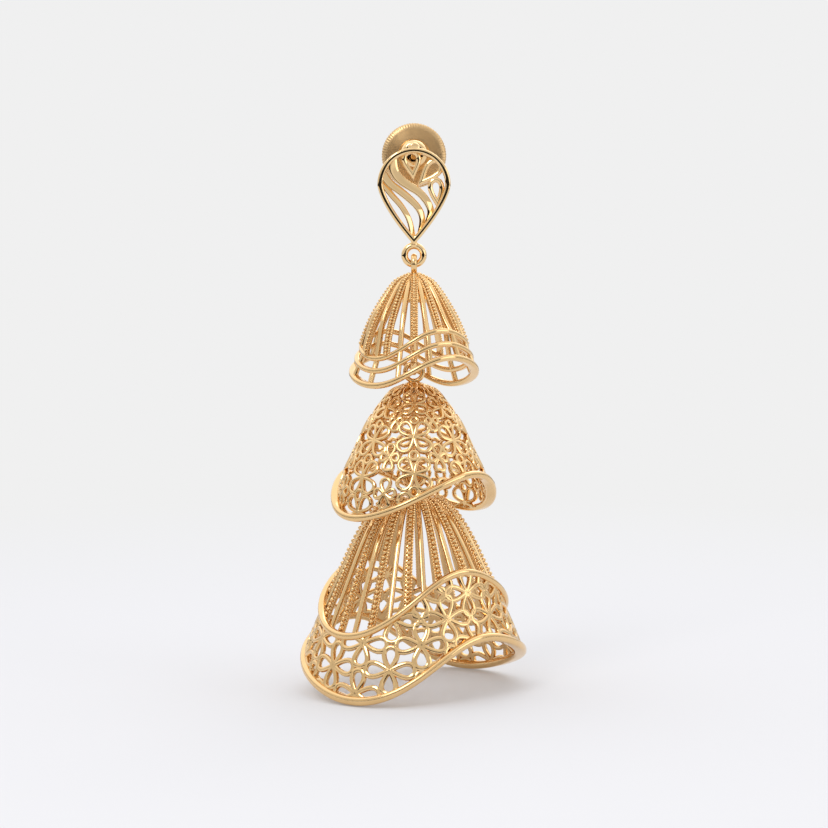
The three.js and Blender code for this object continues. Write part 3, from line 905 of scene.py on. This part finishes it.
middle = bmesh.new()
for column in range(MIDDLE_COLUMNS):
    turn = column * 360 / MIDDLE_COLUMNS
    drop = MIDDLE_DROP * (column % 2)
    for height, length, width in MIDDLE_ROWS:
        parts = flower((length, width), (length, width), BUTTON, MIDDLE_WIRE, start=45)
        join(middle, *trimmed(parts, MIDDLE, height - drop, turn, low=MIDDLE_RIM))
    for height, upright, sideways in BETWEEN_ROWS:
        parts = flower(upright, sideways, SMALL_BUTTON, MIDDLE_WIRE)
        join(middle, *trimmed(parts, MIDDLE, height, turn + 180 / MIDDLE_COLUMNS, low=MIDDLE_RIM))
    for height, radius in RING_ROWS:
        loop = turned([(radius + a, b) for a, b in MIDDLE_WIRE], steps=16)
        join(middle, *trimmed([loop], MIDDLE, height - drop, turn, low=MIDDLE_RIM))
bmesh.ops.recalc_face_normals(middle, faces=middle.faces)
finish("middle_bell_filigree", middle, CAST_GOLD, "middle", "middle_bell")

# ---- Middle bell: rim ----
# One broad waved rim of half-round gold wire closes the bell. The filigree is cut off along its wave and
# soldered to it.
middle = band(MIDDLE_RIM, steps=160)
finish("middle_bell_rim", middle, CAST_GOLD, "middle", "middle_bell")

# ---- Lower bell: hanger and ribs ----
# The largest bell is a cage of sixteen grained and sixteen plain gold ribs that fan out from a closed
# dome and are soldered to the upper rim, each at the height where the wave meets it.
LOWER_LINE = [
    (1.1, -34.35), (2.4, -34.5), (3.35, -34.95), (4.6, -36.4),
    (6.0, -38.8), (7.5, -42.3), (9.7, -47.6),
]
LOWER_RIB_TOP = -34.45
LOWER_LED_FROM = -34.9
LOWER_PAIRS = 16
LOWER_TURN = -4.5
LOWER_RIB_WIDE = 0.87
LOWER_PLAIN_WIDE = 0.52
LOWER_GRAIN = (0.23, 0.5)
LOWER_BEAD = (0.14, 0.3)
TOP_RIM = Rim(8.6, 9.38, -44.37, 0.74, wave=3.05, turn=-3.3, skew=0.19, flare=0.3)
BOTTOM_RIM = Rim(10.2, 11.45, -50.32, 0.84, wave=2.82, turn=6.9, skew=0.34, flare=0.3)

lower = join(hanger(HINGES["lower"], stem_end=-34.55), dome(LOWER_LINE, end=-35.3, sunk=0.3))
lower_grains = bmesh.new()
grained_wide, bed_wide, plain_wide = shared(LOWER_PAIRS, LOWER_RIB_WIDE, LOWER_PLAIN_WIDE)
for i in range(LOWER_PAIRS * 2):
    turn = LOWER_TURN + i * 180 / LOWER_PAIRS
    foot = seat(TOP_RIM, turn, inset=TOP_RIM.outer - TOP_RIM.inner - 0.1)
    line = led(LOWER_LINE, LOWER_LED_FROM, foot)
    head, end = along(line, LOWER_RIB_TOP), along(line, foot[1])
    if i % 2 == 0:
        join(lower, bed(line, head, end, turn, bed_wide))
        join(lower_grains, grains(line, head, end, turn, grained_wide, LOWER_GRAIN, LOWER_BEAD))
    else:
        join(lower, rib(line, head, end, turn, plain_wide))
finish("lower_bell_ribs", lower, CAST_GOLD, "lower", "lower_bell")
finish("lower_bell_grains", lower_grains, CAST_GOLD, "lower", "lower_bell")

# ---- Lower bell: skirt ----
# A skirt of large four-petal flowers in gold wire is soldered in between two waved rims, eleven flowers to
# a row. Each row is set on by half a step, so the round ends of four petals meet at each gap.
SKIRT_LINE = [
    (8.3, -41.0), (8.95, -44.37), (9.4, -45.8), (10.3, -47.9),
    (11.15, -50.28), (12.05, -53.4), (12.3, -54.6),
]
SKIRT_COLUMNS = 11
SKIRT_ROWS = range(-3, 4)
SKIRT_TURN = 4.0
SKIRT_HEIGHT = -47.8
SKIRT_PITCH = 2.3
SKIRT_UPRIGHT = (2.25, 1.4)
SKIRT_SIDEWAYS = (2.5, 1.35)
SKIRT_BUTTON = 0.48
SKIRT_WIRE = strip(0.52, WIRE_DEEP, radius=0.21)

SKIRT = bell_line(SKIRT_LINE)
lower = bmesh.new()
for row in SKIRT_ROWS:
    height = SKIRT_HEIGHT - row * SKIRT_PITCH
    for column in range(SKIRT_COLUMNS):
        turn = SKIRT_TURN + (column - row / 2) * 360 / SKIRT_COLUMNS
        parts = flower(SKIRT_UPRIGHT, SKIRT_SIDEWAYS, SKIRT_BUTTON, SKIRT_WIRE)
        join(lower, *trimmed(parts, SKIRT, height, turn, low=BOTTOM_RIM, high=TOP_RIM))
bmesh.ops.recalc_face_normals(lower, faces=lower.faces)
finish("lower_bell_filigree", lower, CAST_GOLD, "lower", "lower_bell")

# ---- Lower bell: rims ----
# Two broad waved rims of half-round gold wire hold the skirt between them. The wave of the lower one is
# turned on by ten degrees, and its low point at the front left is one of the two it can stand on.
lower = join(band(TOP_RIM, steps=180), band(BOTTOM_RIM, steps=180))
finish("lower_bell_rims", lower, CAST_GOLD, "lower", "lower_bell")
